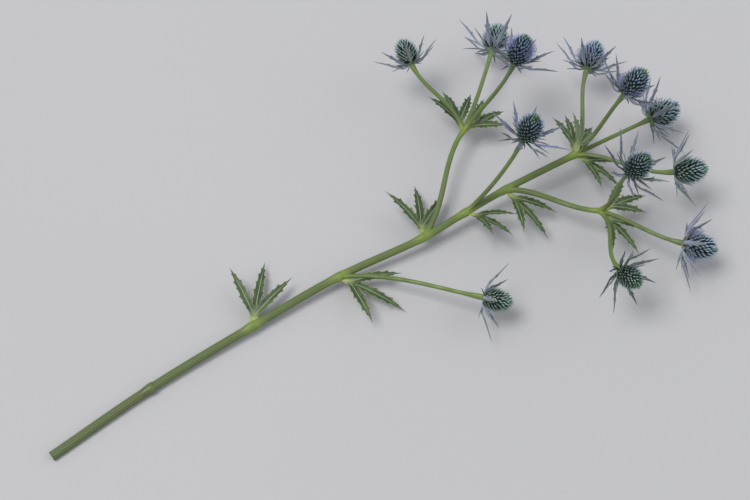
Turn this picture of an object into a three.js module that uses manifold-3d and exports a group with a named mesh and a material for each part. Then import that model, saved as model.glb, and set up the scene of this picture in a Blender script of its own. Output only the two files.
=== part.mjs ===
// A cut, branched stem of sea holly, lying on its side on a level surface.
//
// The plant's own coordinates: X runs along the stem from the cut end to the flowers, Y is to the
// left and Z is up from the surface. Millimetres. The whole plant is shifted at the end, so that the
// origin is the middle of its footprint.
//
// The stem and its branches are one piece. Every flower head is a cone set with points, every head
// has a whorl of toothed bracts under it, and the leaves sit at the forks.

import * as THREE from "three";
import { ConvexGeometry } from "three/addons/geometries/ConvexGeometry.js";
import { mergeVertices } from "three/addons/utils/BufferGeometryUtils.js";
import Module from "manifold-3d";

// ---- Driving dimensions ----

const gap = 0.3; // between two pieces that touch
const plantOrigin = [-337.8, 0, 0]; // where the cut end's centre line lies from the part's origin

const stem = {
  cutRadius: 4.2,
  forkRadius: 3.1, // of the main axis where it ends at the top fork
  sides: 10,
  steps: 18,
  branchRadius: [2.7, 2.2], // of a side branch, from its fork to its own fork
  stalkRadius: [2.05, 1.8], // of a head's stalk, from its fork to just under the head
  stalkFlare: 2.7, // where the stalk widens into the head
  branchSides: 8,
  stalkSides: 6,
  branchSteps: 5,
  knuckle: 1.32, // the swelling at a fork, times the radius there
  leaving: 0.62, // how directly a branch heads for its end where it leaves its fork
  handles: [0.36, 0.34], // shares of the way over which a branch bends at its fork and at its end
};

const cone = {
  coreRadius: 8.6,
  coreHalfHeight: 14,
  taper: 0.13, // how much narrower the top is than the bottom
  points: 72,
  pointLength: 5.2,
  pointSpread: 0.16, // how much the points differ in length, as a share
  lift: 0.62, // how far the points lean towards the tip
  lowLift: 0.35, // and how much further those at the bottom do
  valleyDepth: 0.5,
  baseCut: 0.8, // share of the half height at which the flat base is cut
};

const whorl = {
  collarRadius: 5.4,
  collarHeight: 1.7,
  sides: 10,
  bracts: 8,
  length: 41,
  halfWidth: 1.9,
  thickness: 0.95,
  rise: [26, 48], // degrees above the whorl's plane, the lowest and the highest bract
  unfold: [0.2, 0.42], // shares of the length between which a bract bends up
  lengthSpread: 0.24,
  azimuthSpread: 0.22, // in radians
  // Each tooth: its share of the length, and the width across it over the blade's own width.
  pairedTeeth: [[0.44, 2.3], [0.66, 1.9]],
  singleTeeth: [[0.55, 2.3]],
  singleShare: 0.4, // of the bracts
};

const leaf = {
  halfWidth: 3.2,
  thickness: 0.9,
  lobeAngle: 36,
  footLength: 11, // from the stem's middle to where the lobes part
  footWidening: 1.35,
  footThickening: 1.2,
  footReach: 0.45, // how far the foot's own blade runs, as a share of the leaf's length
  sideShortening: 0.14,
  rise: 10, // degrees above the leaf's plane at the foot
  sideRise: 12, // and how much more on the outer lobes
  droop: 34, // degrees lost on the way to the tip
  teeth: [[0.4, 1.75], [0.68, 1.45]],
  lengthSpread: 0.1,
  angleSpread: 8,
};

// The main axis: [x, y, z] of its centre line at the cut end and at each place where something grows.
const mainAxis = [
  [0, -20, 3.75],
  [105, -6, 5.6],
  [212, 1, 9.2],
  [305, 4, 13.5],
  [392, -2, 18.5],
  [440, 0, 21.5],
  [484, 1, 24.5],
  [560, -2, 30],
];

// Forks off the main axis: where each side branch leaves it and where it forks again.
const sideForks = {
  left: { from: 4, to: [482, 74, 29] },
  right: { from: 6, to: [545, -66, 33] },
};

// Heads: where each stalk starts, where it meets the head, the way the head points, its size and
// its turn about its own axis in degrees.
const heads = [
  { from: "main7", base: [641, -7, 34.8], facing: [1, -0.06, 0.05], size: 1.08, turn: 0 },
  { from: "main7", base: [614, 63, 50], facing: [0.75, 0.6, 0.24], size: 1.0, turn: 10 },
  { from: "main7", base: [620, -74, 52], facing: [0.8, -0.52, 0.28], size: 1.02, turn: 31 },
  { from: "main7", base: [604, -4, 103], facing: [0.66, 0.02, 0.75], size: 1.0, turn: 17 },
  { from: "right", base: [591, -134, 36.2], facing: [0.7, -0.7, 0.06], size: 1.04, turn: 0 },
  { from: "right", base: [562, -74, 98], facing: [0.45, -0.2, 0.87], size: 0.97, turn: 5 },
  { from: "right", base: [516, -138, 62], facing: [0.1, -0.93, 0.35], size: 0.86, turn: 20 },
  { from: "left", base: [551, 134, 38], facing: [0.72, 0.69, 0.06], size: 1.02, turn: 0 },
  { from: "left", base: [538, 80, 95], facing: [0.5, 0.2, 0.84], size: 1.0, turn: 28 },
  { from: "left", base: [468, 148, 58], facing: [0.08, 0.95, 0.3], size: 0.88, turn: 8 },
  { from: "main3", base: [404, -88, 31.6], facing: [0.7, -0.7, 0.08], size: 0.88, turn: 0 },
  { from: "main5", base: [500, 4, 97], facing: [0.4, 0.05, 0.91], size: 0.98, turn: 12 },
];

// Leaves: where each grows, the way it points, the way its upper face looks, its length and lobes.
const leaves = [
  { from: "main2", out: [0.62, 0.78, 0.1], face: [0.04, -0.08, 1], length: 76, lobes: 3 },
  { from: "main3", out: [0.55, -0.82, 0.05], face: [0.105, 0, 1], length: 72, lobes: 3 },
  { from: "main4", out: [0.4, 0.9, -0.02], face: [0.3, 0, 1], length: 70, lobes: 3 },
  { from: "main5", out: [0.5, -0.82, 0.25], face: [0.3, 0.4, 0.87], length: 58, lobes: 3 },
  { from: "main6", out: [0.2, -0.97, 0.02], face: [0.35, 0, 1], length: 66, lobes: 3 },
  { from: "main7", out: [0.5, 0.87, -0.1], face: [0.4, 0, 1], length: 57, lobes: 3 },
  { from: "main7", out: [0.5, -0.87, -0.1], face: [0.4, 0, 1], length: 57, lobes: 3 },
  { from: "main7", out: [0.35, 0.3, 0.88], face: [0.9, 0, -0.3], length: 50, lobes: 3 },
  { from: "left", out: [0.15, 0.98, -0.12], face: [0.3, 0, 1], length: 58, lobes: 3 },
  { from: "left", out: [0.9, 0.1, -0.02], face: [0.1, 0, 1], length: 54, lobes: 3 },
  { from: "right", out: [0.15, -0.98, -0.1], face: [0.3, 0, 1], length: 58, lobes: 3 },
  { from: "right", out: [0.95, -0.05, -0.02], face: [0.1, 0, 1], length: 54, lobes: 3 },
];

// ---- Solids ----

const wasm = await Module();
wasm.setup();

// A closed geometry whose faces point out as a manifold-3d solid.
function solidOf(geometry) {
  const bare = geometry.clone();
  for (const name of Object.keys(bare.attributes)) {
    if (name !== "position") bare.deleteAttribute(name);
  }
  const merged = mergeVertices(bare, 1e-4);
  return new wasm.Manifold(
    new wasm.Mesh({
      numProp: 3,
      vertProperties: merged.attributes.position.array,
      triVerts: new Uint32Array(merged.index.array),
    }),
  );
}

// A manifold-3d solid as a geometry, keeping its largest body alone.
function geometryOf(solid) {
  const bodies = solid.decompose().sort((a, b) => b.volume() - a.volume());
  const mesh = bodies[0].getMesh();
  const geometry = new THREE.BufferGeometry();
  geometry.setAttribute("position", new THREE.BufferAttribute(mesh.vertProperties, 3));
  geometry.setIndex(new THREE.BufferAttribute(mesh.triVerts, 1));
  const flat = geometry.toNonIndexed();
  flat.computeVertexNormals();
  return flat;
}

const joined = (solids) => solids.reduce((all, next) => all.add(next));

// A box from one corner to the opposite one.
function block(low, high) {
  const size = high.map((value, axis) => value - low[axis]);
  const middle = high.map((value, axis) => (value + low[axis]) / 2);
  return solidOf(new THREE.BoxGeometry(...size).translate(...middle));
}

// A geometry from a list of points and a list of triangles, all facing out.
function shell(points, triangles) {
  const geometry = new THREE.BufferGeometry();
  geometry.setAttribute(
    "position",
    new THREE.Float32BufferAttribute(points.flatMap((point) => point.toArray()), 3),
  );
  geometry.setIndex(triangles.flat());
  return geometry;
}

// Rings of equal point counts joined into one closed skin; a ring of one point is a tip.
function skin(rings) {
  const points = rings.flat();
  const starts = [];
  let count = 0;
  for (const ring of rings) {
    starts.push(count);
    count += ring.length;
  }
  const triangles = [];
  for (let step = 0; step + 1 < rings.length; step += 1) {
    const sides = rings[step].length;
    const here = starts[step];
    const there = starts[step + 1];
    for (let side = 0; side < sides; side += 1) {
      const next = (side + 1) % sides;
      if (rings[step + 1].length === 1) {
        triangles.push([here + side, here + next, there]);
      } else {
        triangles.push([here + side, here + next, there + next]);
        triangles.push([here + side, there + next, there + side]);
      }
    }
  }
  for (let side = 1; side + 1 < rings[0].length; side += 1) triangles.push([0, side + 1, side]);
  const last = rings.at(-1);
  const end = starts.at(-1);
  for (let side = 1; side + 1 < last.length; side += 1) {
    triangles.push([end, end + side, end + side + 1]);
  }
  return shell(points, triangles);
}

// A round tube along a curve, whose radius is a function of the share of the way along it.
function tube(curve, radiusAt, sides, steps) {
  const frames = curve.computeFrenetFrames(steps, false);
  const rings = [];
  for (let step = 0; step <= steps; step += 1) {
    const share = step / steps;
    const centre = curve.getPointAt(share);
    const radius = radiusAt(share);
    const ring = [];
    for (let side = 0; side < sides; side += 1) {
      const angle = (side / sides) * 2 * Math.PI;
      ring.push(
        centre
          .clone()
          .addScaledVector(frames.normals[step], Math.cos(angle) * radius)
          .addScaledVector(frames.binormals[step], Math.sin(angle) * radius),
      );
    }
    rings.push(ring);
  }
  return skin(rings);
}

// A number from 0 to 1 that is always the same for the same seed.
function draw(seed) {
  const wave = Math.sin(seed * 12.9898 + 78.233) * 43758.5453;
  return wave - Math.floor(wave);
}

// ---- The branching stem ----

const mainCurve = new THREE.CatmullRomCurve3(
  mainAxis.map((point) => new THREE.Vector3(...point)),
  false,
  "centripetal",
);

// The place and the growing direction at a fork, with the stem's radius there.
function forkAt(name) {
  if (name.startsWith("main")) {
    const index = Number(name.slice(4));
    const step = index / (mainAxis.length - 1);
    const share = mainAxis[index][0] / mainAxis.at(-1)[0];
    return {
      place: mainCurve.getPoint(step),
      along: mainCurve.getTangent(step),
      radius: THREE.MathUtils.lerp(stem.cutRadius, stem.forkRadius, share),
    };
  }
  const curve = branchCurves[name];
  return { place: curve.getPoint(1), along: curve.getTangent(1), radius: stem.branchRadius[1] };
}

// A curve that leaves its fork between the parent's direction and the straight way to its end.
function offshoot(fork, end, facing) {
  const straight = end.clone().sub(fork.place);
  const length = straight.length();
  const start = straight.normalize().multiplyScalar(stem.leaving);
  start.addScaledVector(fork.along, 1 - stem.leaving).normalize();
  const [first, last] = stem.handles;
  return new THREE.CubicBezierCurve3(
    fork.place,
    fork.place.clone().addScaledVector(start, length * first),
    end.clone().addScaledVector(facing, -length * last),
    end,
  );
}

const branchCurves = {};
for (const [name, branch] of Object.entries(sideForks)) {
  const fork = forkAt("main" + branch.from);
  const end = new THREE.Vector3(...branch.to);
  const level = end.clone().sub(fork.place).setZ(0).normalize();
  branchCurves[name] = offshoot(fork, end, level.addScaledVector(fork.along, 0.5).normalize());
}

const stalkCurves = heads.map((head) => {
  const facing = new THREE.Vector3(...head.facing).normalize();
  return offshoot(forkAt(head.from), new THREE.Vector3(...head.base), facing);
});

// Every tube and swelling of the stem, each made thicker all round by the given amount.
function stemSolids(extra) {
  const solids = [];
  const mix = THREE.MathUtils.lerp;
  solids.push(
    tube(mainCurve, (u) => mix(stem.cutRadius, stem.forkRadius, u) + extra, stem.sides, stem.steps),
  );
  for (const curve of Object.values(branchCurves)) {
    const radiusAt = (u) => mix(...stem.branchRadius, u) + extra;
    solids.push(tube(curve, radiusAt, stem.branchSides, stem.branchSteps));
  }
  for (const curve of stalkCurves) {
    const radiusAt = (u) => {
      const flare = THREE.MathUtils.smoothstep(u, 0.8, 1) * (stem.stalkFlare - stem.stalkRadius[1]);
      return mix(...stem.stalkRadius, u) + flare + extra;
    };
    solids.push(tube(curve, radiusAt, stem.stalkSides, stem.branchSteps));
  }
  const forks = new Set([...heads, ...leaves].map((part) => part.from));
  for (const name of forks) {
    const fork = forkAt(name);
    const radius = fork.radius * stem.knuckle + extra;
    const knuckle = new THREE.DodecahedronGeometry(radius, 0);
    knuckle.translate(...fork.place.toArray());
    solids.push(knuckle);
  }
  return solids.map(solidOf);
}

const aboveSurface = block([-50, -400, 0], [900, 400, 400]);
const stemSolid = joined(stemSolids(0)).intersect(aboveSurface);
const stemRoom = joined(stemSolids(gap));

// ---- Flower heads ----

// The egg-shaped core: the place at a height share from -1 to 1 and an angle.
function corePlace(unit, inset) {
  const narrowing = 1 - cone.taper * unit.z;
  const centre = cone.coreHalfHeight * cone.baseCut + whorl.collarHeight + 2 * gap;
  return new THREE.Vector3(
    unit.x * (cone.coreRadius - inset) * narrowing,
    unit.y * (cone.coreRadius - inset) * narrowing,
    centre + unit.z * (cone.coreHalfHeight - inset),
  );
}

// Points spaced evenly by the golden angle, each the tip of a little pyramid. The pyramids share
// their foot corners, which lie where three of them meet, so that they cover the whole core.
function headSolid(seed) {
  const goldenAngle = Math.PI * (3 - Math.sqrt(5));
  const units = Array.from({ length: cone.points }, (_, index) => {
    const height = 1 - (2 * (index + 0.5)) / cone.points;
    const across = Math.sqrt(1 - height * height);
    const angle = index * goldenAngle;
    return new THREE.Vector3(Math.cos(angle) * across, Math.sin(angle) * across, height);
  });
  const keyOf = (point) => point.toArray().map((value) => value.toFixed(4)).join();
  const indexOf = new Map(units.map((unit, index) => [keyOf(unit), index]));
  const hull = new ConvexGeometry(units).getAttribute("position");
  const corners = [];
  const sharing = new Map();
  for (let first = 0; first < hull.count; first += 3) {
    const three = [0, 1, 2].map((step) => new THREE.Vector3().fromBufferAttribute(hull, first + step));
    const names = three.map((point) => indexOf.get(keyOf(point)));
    const middle = three[0].clone().add(three[1]).add(three[2]).normalize();
    names.forEach((name, step) => sharing.set(name + ">" + names[(step + 1) % 3], corners.length));
    corners.push(corePlace(middle, cone.valleyDepth));
  }
  const tips = units.map((unit, index) => {
    const lean = cone.lift + cone.lowLift * Math.max(0, -unit.z);
    const way = new THREE.Vector3(unit.x, unit.y, unit.z * 0.6 + lean).normalize();
    const length = cone.pointLength * (1 + cone.pointSpread * (draw(seed * 100 + index) - 0.5));
    return corePlace(unit, 0).addScaledVector(way, length);
  });
  const triangles = [];
  for (const [edge, after] of sharing) {
    const [tip, neighbour] = edge.split(">").map(Number);
    const before = sharing.get(neighbour + ">" + tip);
    triangles.push([tip, tips.length + before, tips.length + after]);
  }
  const base = whorl.collarHeight + 2 * gap;
  return solidOf(shell([...tips, ...corners], triangles)).intersect(
    block([-40, -40, base], [40, 40, 80]),
  );
}

// ---- Bracts and leaf lobes ----

// A toothed blade that leaves the Z axis at a given azimuth: flat above, with a keel below. The
// rise is the slope of its middle line in degrees, as a function of the share of its length. Each
// tooth is a share of the length and the width across it there.
function toothedBlade({ azimuth, length, riseAt, halfWidth, thickness, teeth, start, height }) {
  const outward = new THREE.Vector3(Math.cos(azimuth), Math.sin(azimuth), 0);
  const across = new THREE.Vector3(-Math.sin(azimuth), Math.cos(azimuth), 0);
  const widths = [[0, bladeTaper(0)]];
  for (const [share, spread] of teeth) {
    widths.push([share - 0.08, bladeTaper(share - 0.08)], [share, spread]);
    widths.push([share + 0.02, bladeTaper(share + 0.02)]);
  }
  const rings = [];
  const place = outward.clone().multiplyScalar(start).setZ(height);
  let reached = 0;
  for (const [share, width] of widths) {
    const middle = (share + reached) / 2;
    const slope = THREE.MathUtils.degToRad(riseAt(middle));
    const travel = (share - reached) * length;
    place.addScaledVector(outward, Math.cos(slope) * travel);
    place.z += Math.sin(slope) * travel;
    reached = share;
    const slopeHere = THREE.MathUtils.degToRad(riseAt(share));
    const under = outward.clone().multiplyScalar(Math.sin(slopeHere)).setZ(-Math.cos(slopeHere));
    rings.push([
      place.clone().addScaledVector(across, halfWidth * width),
      place.clone().addScaledVector(across, -halfWidth * width),
      place.clone().addScaledVector(under, thickness * (1 - 0.35 * share)),
    ]);
  }
  const slope = THREE.MathUtils.degToRad(riseAt(1));
  const travel = (1 - reached) * length;
  const tip = place.clone().addScaledVector(outward, Math.cos(slope) * travel);
  tip.z += Math.sin(slope) * travel;
  rings.push([tip]);
  return skin(rings);
}

// The width of a blade between its teeth: narrow at its foot, widest before its middle.
function bladeTaper(share) {
  const towardsFoot = Math.max(0, 1 - share / 0.4);
  const towardsTip = Math.max(0, (share - 0.4) / 0.6);
  return 1.2 - 0.5 * towardsFoot ** 2 - 0.95 * towardsTip ** 1.3;
}

// The collar under a head and the bracts that grow from it, in one piece.
function whorlSolid(seed, turn) {
  const collar = new THREE.CylinderGeometry(
    whorl.collarRadius,
    whorl.collarRadius * 0.8,
    whorl.collarHeight,
    whorl.sides,
  );
  collar.rotateX(Math.PI / 2).translate(0, 0, gap + whorl.collarHeight / 2);
  const solids = [solidOf(collar)];
  for (let index = 0; index < whorl.bracts; index += 1) {
    const chance = (step) => draw(seed * 37 + index * 5 + step);
    const rise = THREE.MathUtils.lerp(...whorl.rise, chance(0));
    const even = ((index + 0.5) / whorl.bracts) * 2 * Math.PI + THREE.MathUtils.degToRad(turn);
    solids.push(
      solidOf(
        toothedBlade({
          azimuth: even + whorl.azimuthSpread * (chance(1) - 0.5),
          length: whorl.length * (1 + whorl.lengthSpread * (chance(2) - 0.5)),
          riseAt: (share) => rise * THREE.MathUtils.smoothstep(share, ...whorl.unfold) * (1.1 - 0.3 * share),
          halfWidth: whorl.halfWidth,
          thickness: whorl.thickness,
          teeth: chance(3) > whorl.singleShare ? whorl.pairedTeeth : whorl.singleTeeth,
          start: whorl.collarRadius - 3,
          height: gap + whorl.collarHeight * 0.72,
        }),
      ),
    );
  }
  return joined(solids);
}

// A leaf cut into long toothed lobes that part a little way out from the stem. Its foot reaches
// in to the stem's middle, to be cut back to the stem's skin.
function leafSolid(spec, seed) {
  const half = (spec.lobes - 1) / 2;
  const lobes = [];
  for (let lobe = -half; lobe <= half; lobe += 1) {
    const chance = (step) => draw(seed * 53 + lobe * 7 + step);
    const shorter = 1 - leaf.sideShortening * Math.abs(lobe);
    const longer = 1 + leaf.lengthSpread * (chance(1) - 0.5);
    const azimuth = leaf.lobeAngle * lobe + leaf.angleSpread * (chance(0) - 0.5);
    const blade = toothedBlade({
      azimuth: THREE.MathUtils.degToRad(azimuth),
      length: (spec.length - leaf.footLength) * shorter * longer,
      riseAt: (share) => leaf.sideRise * Math.abs(lobe) + leaf.rise - leaf.droop * share,
      halfWidth: leaf.halfWidth,
      thickness: leaf.thickness,
      teeth: leaf.teeth,
      start: -1,
      height: 0,
    });
    lobes.push(blade.translate(leaf.footLength, 0, 0));
  }
  const foot = toothedBlade({
    azimuth: 0,
    length: spec.length * leaf.footReach,
    riseAt: () => 0,
    halfWidth: leaf.halfWidth * leaf.footWidening,
    thickness: leaf.thickness * leaf.footThickening,
    teeth: [],
    start: 0,
    height: 0,
  });
  return joined([foot, ...lobes].map(solidOf));
}

// ---- The plant ----

// The turn and place that put a piece's Z axis along one direction and its X axis near another.
function standing(place, zAxis, nearX) {
  const z = zAxis.clone().normalize();
  const x = nearX.clone().addScaledVector(z, -nearX.dot(z)).normalize();
  return new THREE.Matrix4().makeBasis(x, z.clone().cross(x), z).setPosition(place);
}

const finish = {
  stem: new THREE.MeshStandardMaterial({ color: 0x77894f, roughness: 0.55, metalness: 0 }),
  head: new THREE.MeshStandardMaterial({ color: 0x55707a, roughness: 0.6, metalness: 0 }),
  bract: new THREE.MeshStandardMaterial({ color: 0x8e97b4, roughness: 0.45, metalness: 0 }),
  leaf: new THREE.MeshStandardMaterial({ color: 0x4c6540, roughness: 0.5, metalness: 0 }),
};

const plant = new THREE.Group();
plant.position.set(...plantOrigin);

function add(name, geometry, material, matrix) {
  const mesh = new THREE.Mesh(geometry, material);
  mesh.name = name;
  mesh.applyMatrix4(matrix);
  plant.add(mesh);
}

add("stem", geometryOf(stemSolid), finish.stem, new THREE.Matrix4());

heads.forEach((head, index) => {
  const number = index + 1;
  const facing = new THREE.Vector3(...head.facing);
  const sideways = new THREE.Vector3(0, 0, 1).cross(facing);
  const matrix = standing(new THREE.Vector3(...head.base), facing, sideways);
  matrix.scale(new THREE.Vector3().setScalar(head.size));
  add("head_" + number, geometryOf(headSolid(number)), finish.head, matrix);
  add("bracts_" + number, geometryOf(whorlSolid(number, head.turn)), finish.bract, matrix);
});

leaves.forEach((spec, index) => {
  const fork = forkAt(spec.from);
  const out = new THREE.Vector3(...spec.out).normalize();
  const matrix = standing(fork.place, new THREE.Vector3(...spec.face), out);
  const grown = leafSolid(spec, index + 1).transform(matrix.elements);
  const fitted = geometryOf(grown.subtract(stemRoom)).applyMatrix4(matrix.clone().invert());
  add("leaf_" + (index + 1), fitted, finish.leaf, matrix);
});

const part = new THREE.Group();
part.add(plant);

export default part;
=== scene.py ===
import bpy
import numpy as np
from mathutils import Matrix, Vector


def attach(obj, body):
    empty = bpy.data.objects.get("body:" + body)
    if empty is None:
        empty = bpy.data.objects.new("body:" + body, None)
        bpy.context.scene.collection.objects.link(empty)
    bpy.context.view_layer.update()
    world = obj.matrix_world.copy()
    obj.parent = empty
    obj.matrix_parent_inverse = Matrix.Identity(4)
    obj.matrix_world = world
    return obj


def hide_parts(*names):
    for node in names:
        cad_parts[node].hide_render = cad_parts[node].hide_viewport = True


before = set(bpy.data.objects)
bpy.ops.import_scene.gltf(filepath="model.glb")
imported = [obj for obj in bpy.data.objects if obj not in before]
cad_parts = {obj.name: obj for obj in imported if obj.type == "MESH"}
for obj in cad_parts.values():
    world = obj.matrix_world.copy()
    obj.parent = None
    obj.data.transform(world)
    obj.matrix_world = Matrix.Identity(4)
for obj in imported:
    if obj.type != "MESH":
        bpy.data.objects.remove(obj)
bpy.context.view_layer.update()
print("frame loaded")

plant = {
    "origin": (-337.8, 0, 0),  # of these coordinates, from the frame's own origin
    "seat": 0.3,  # between two pieces that touch
    "mainAxis": [
        (0, -20, 3.75),
        (105, -6, 5.6),
        (212, 1, 9.2),
        (305, 4, 13.5),
        (392, -2, 18.5),
        (440, 0, 21.5),
        (484, 1, 24.5),
        (560, -2, 30),
    ],
    "sideForks": {
        "left": {"start": 4, "end": (482, 74, 29)},
        "right": {"start": 6, "end": (545, -66, 33)},
    },
}

# A start is a knot of the main axis, or a side fork. Blue runs from an unripe green head to a ripe one.
headFields = ("start", "end", "facing", "size", "turn", "blue")
headRows = [
    (7, (641, -7, 34.8), (1, -0.06, 0.05), 1.08, 0, 0.6),
    (7, (614, 63, 50), (0.75, 0.6, 0.24), 1.0, 10, 0.8),
    (7, (620, -74, 52), (0.8, -0.52, 0.28), 1.02, 31, 0.4),
    (7, (604, -4, 103), (0.66, 0.02, 0.75), 1.0, 17, 0.75),
    ("right", (591, -134, 36.2), (0.7, -0.7, 0.06), 1.04, 0, 0.75),
    ("right", (562, -74, 98), (0.45, -0.2, 0.87), 0.97, 5, 0.5),
    ("right", (516, -138, 62), (0.1, -0.93, 0.35), 0.86, 20, 0.25),
    ("left", (551, 134, 38), (0.72, 0.69, 0.06), 1.02, 0, 0.5),
    ("left", (538, 80, 95), (0.5, 0.2, 0.84), 1.0, 28, 1.0),
    ("left", (468, 148, 58), (0.08, 0.95, 0.3), 0.88, 8, 0.35),
    (3, (404, -88, 31.6), (0.7, -0.7, 0.08), 0.88, 0, 0.2),
    (5, (500, 4, 97), (0.4, 0.05, 0.91), 0.98, 12, 0.65),
]
heads = [dict(zip(headFields, row)) for row in headRows]

leafFields = ("start", "out", "face", "length")
leafRows = [
    (2, (0.62, 0.78, 0.1), (0.04, -0.08, 1), 76),
    (3, (0.55, -0.82, 0.05), (0.105, 0, 1), 72),
    (4, (0.4, 0.9, -0.02), (0.3, 0, 1), 70),
    (5, (0.5, -0.82, 0.25), (0.3, 0.4, 0.87), 58),
    (6, (0.2, -0.97, 0.02), (0.35, 0, 1), 66),
    (7, (0.5, 0.87, -0.1), (0.4, 0, 1), 57),
    (7, (0.5, -0.87, -0.1), (0.4, 0, 1), 57),
    (7, (0.35, 0.3, 0.88), (0.9, 0, -0.3), 50),
    ("left", (0.15, 0.98, -0.12), (0.3, 0, 1), 58),
    ("left", (0.9, 0.1, -0.02), (0.1, 0, 1), 54),
    ("right", (0.15, -0.98, -0.1), (0.3, 0, 1), 58),
    ("right", (0.95, -0.05, -0.02), (0.1, 0, 1), 54),
]
leaves = [dict(zip(leafFields, row)) for row in leafRows]


def toMetres(points):
    return (points + np.array(plant["origin"])) * 0.001


def draw(seed):  # a repeatable number from 0 to 1: the fraction part of a fast wave of the seed
    wave = np.sin(np.asarray(seed, float) * 12.9898 + 78.233) * 43758.5453
    return wave - np.floor(wave)


def stray(spread, seed):  # a repeatable number up to half the spread either way
    return spread * (draw(seed) - 0.5)


def unit(vector):
    vector = np.asarray(vector, float)
    return vector / np.linalg.norm(vector, axis=-1, keepdims=True)


def smoothStep(value, low, high):  # 0 below low, 1 above high, an S curve between
    share = np.clip((value - low) / (high - low), 0, 1)
    return share * share * (3 - 2 * share)


def blend(span, share):  # from the span's first value, where the share is 0, to its second
    return span[0] + (span[1] - span[0]) * share


def bump(value, centre, width):  # a bell that is 1 at its centre
    return np.exp(-(((value - centre) / width) ** 2))


def circle(count):
    return np.linspace(0, 2 * np.pi, count, endpoint=False)


def standing(place, zAxis, nearX):  # rows: X, Y, Z and the place of a frame that stands along zAxis
    z = unit(zAxis)
    x = unit(np.asarray(nearX, float) - np.dot(nearX, z) * z)
    return np.vstack((x, np.cross(z, x), z, place))


def placed(points, stand, size=1.0):
    return points @ stand[:3] * size + stand[3]


class Shape:  # closed tubes, with one value a point for each attribute that a material reads
    def __init__(self):
        self.points, self.faces, self.values, self.count = [], [], {}, 0

    def add(self, points, **values):
        # The points are a grid of one tube's rings and sides, or of several tubes' of one size. Quads
        # join each ring to the next, and caps close the ends. The values are spread over the grid.
        grid = points.shape[:-1]
        index = self.count + np.arange(np.prod(grid)).reshape(-1, *grid[-2:])
        here, there = index[:, :-1], index[:, 1:]
        quads = np.stack((here, np.roll(here, -1, 2), np.roll(there, -1, 2), there), -1)
        self.faces += [quads.reshape(-1, 4), index[:, 0, ::-1], index[:, -1]]
        self.points.append(points.reshape(-1, 3))
        for name, value in values.items():
            spread = np.broadcast_to(value, grid).astype(np.float32)
            self.values.setdefault(name, []).append(spread.ravel())
        self.count += index.size

    def make(self, name, material, node, sharp=40):
        mesh = bpy.data.meshes.new(name)
        points = toMetres(np.concatenate(self.points))
        sizes = np.concatenate([np.full(len(some), some.shape[1]) for some in self.faces])
        corners = np.concatenate([some.ravel() for some in self.faces])
        mesh.vertices.add(len(points))
        mesh.vertices.foreach_set("co", points.ravel())
        mesh.loops.add(len(corners))
        mesh.loops.foreach_set("vertex_index", corners.astype(np.int32))
        mesh.polygons.add(len(sizes))
        starts = np.concatenate(([0], np.cumsum(sizes)[:-1]))
        mesh.polygons.foreach_set("loop_start", starts.astype(np.int32))
        mesh.update(calc_edges=True)
        mesh.validate()
        for key, parts in self.values.items():
            layer = mesh.attributes.new(key, "FLOAT", "POINT")
            layer.data.foreach_set("value", np.concatenate(parts))
        mesh.shade_smooth()
        mesh.set_sharp_from_angle(angle=np.radians(sharp))
        mesh.materials.append(material)
        piece = bpy.data.objects.new(name, mesh)
        bpy.context.collection.objects.link(piece)
        if node:
            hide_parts(node)
        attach(piece, "root")
        return piece


colours = {  # red, green, blue of a screen colour, 0 to 255
    "stalkTop": (103, 131, 54),
    "stalkBlue": (90, 109, 84),
    "stalkFoot": (72, 78, 56),
    "stalkRib": (125, 145, 78),
    "knuckle": (137, 157, 68),
    "pith": (206, 208, 178),
    "cutRim": (98, 100, 64),
    # painted shade: the near black of the core and the spikes' roots, where the spikes crowd
    "floretRootShade": (5, 24, 20),
    "floretGreen": (72, 120, 72),
    "floretBlue": (72, 110, 140),
    "floretGreenTip": (156, 177, 162),
    "floretBlueTip": (164, 178, 210),
    "stamen": (164, 160, 204),
    "anther": (84, 92, 150),
    "bractFoot": (98, 118, 76),
    "bractJade": (124, 144, 128),
    "bractLilac": (150, 156, 200),
    "bractGreen": (92, 108, 96),
    "bractBlue": (106, 116, 154),
    "bractTip": (72, 84, 78),
    "bractPale": (190, 198, 212),
    "bractSpine": (92, 84, 100),
    "bractDusk": (58, 66, 68),
    "leafBlade": (64, 88, 48),
    "leafDark": (44, 62, 38),
    "leafUnder": (96, 116, 84),
    "leafVein": (142, 160, 112),
    "leafEdge": (152, 160, 118),
    "leafFoot": (176, 184, 124),
    "floor": (186, 186, 189),
    "floorCloud": (184, 184, 186),
}


def paint(name):  # the shader's own colour: a screen colour's curve undone
    share = np.array(colours[name]) / 255
    linear = np.where(share <= 0.04045, share / 12.92, ((share + 0.055) / 1.055) ** 2.4)
    return (*linear.tolist(), 1)


def addNode(tree, kind, inputs=None, **settings):
    node = tree.nodes.new(kind)
    for name, value in settings.items():
        setattr(node, name, value)
    for name, value in (inputs or {}).items():
        if isinstance(value, bpy.types.NodeSocket):
            tree.links.new(value, node.inputs[name])
        else:
            node.inputs[name].default_value = value
    return node


def attribute(tree, name):
    return addNode(tree, "ShaderNodeAttribute", attribute_name=name).outputs["Fac"]


def maths(tree, operation, first, second=0.0, clamp=False):
    inputs = {0: first, 1: second}
    return addNode(tree, "ShaderNodeMath", inputs, operation=operation, use_clamp=clamp).outputs[0]


def mixed(tree, share, first, second):
    inputs = {0: share, 6: first, 7: second}
    return addNode(tree, "ShaderNodeMix", inputs, data_type="RGBA").outputs[2]


def between(tree, value, low, high, start=0.0, end=1.0):
    inputs = {"Value": value, "From Min": low, "From Max": high, "To Min": start, "To Max": end}
    node = addNode(tree, "ShaderNodeMapRange", inputs, interpolation_type="SMOOTHSTEP")
    return node.outputs["Result"]


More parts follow.
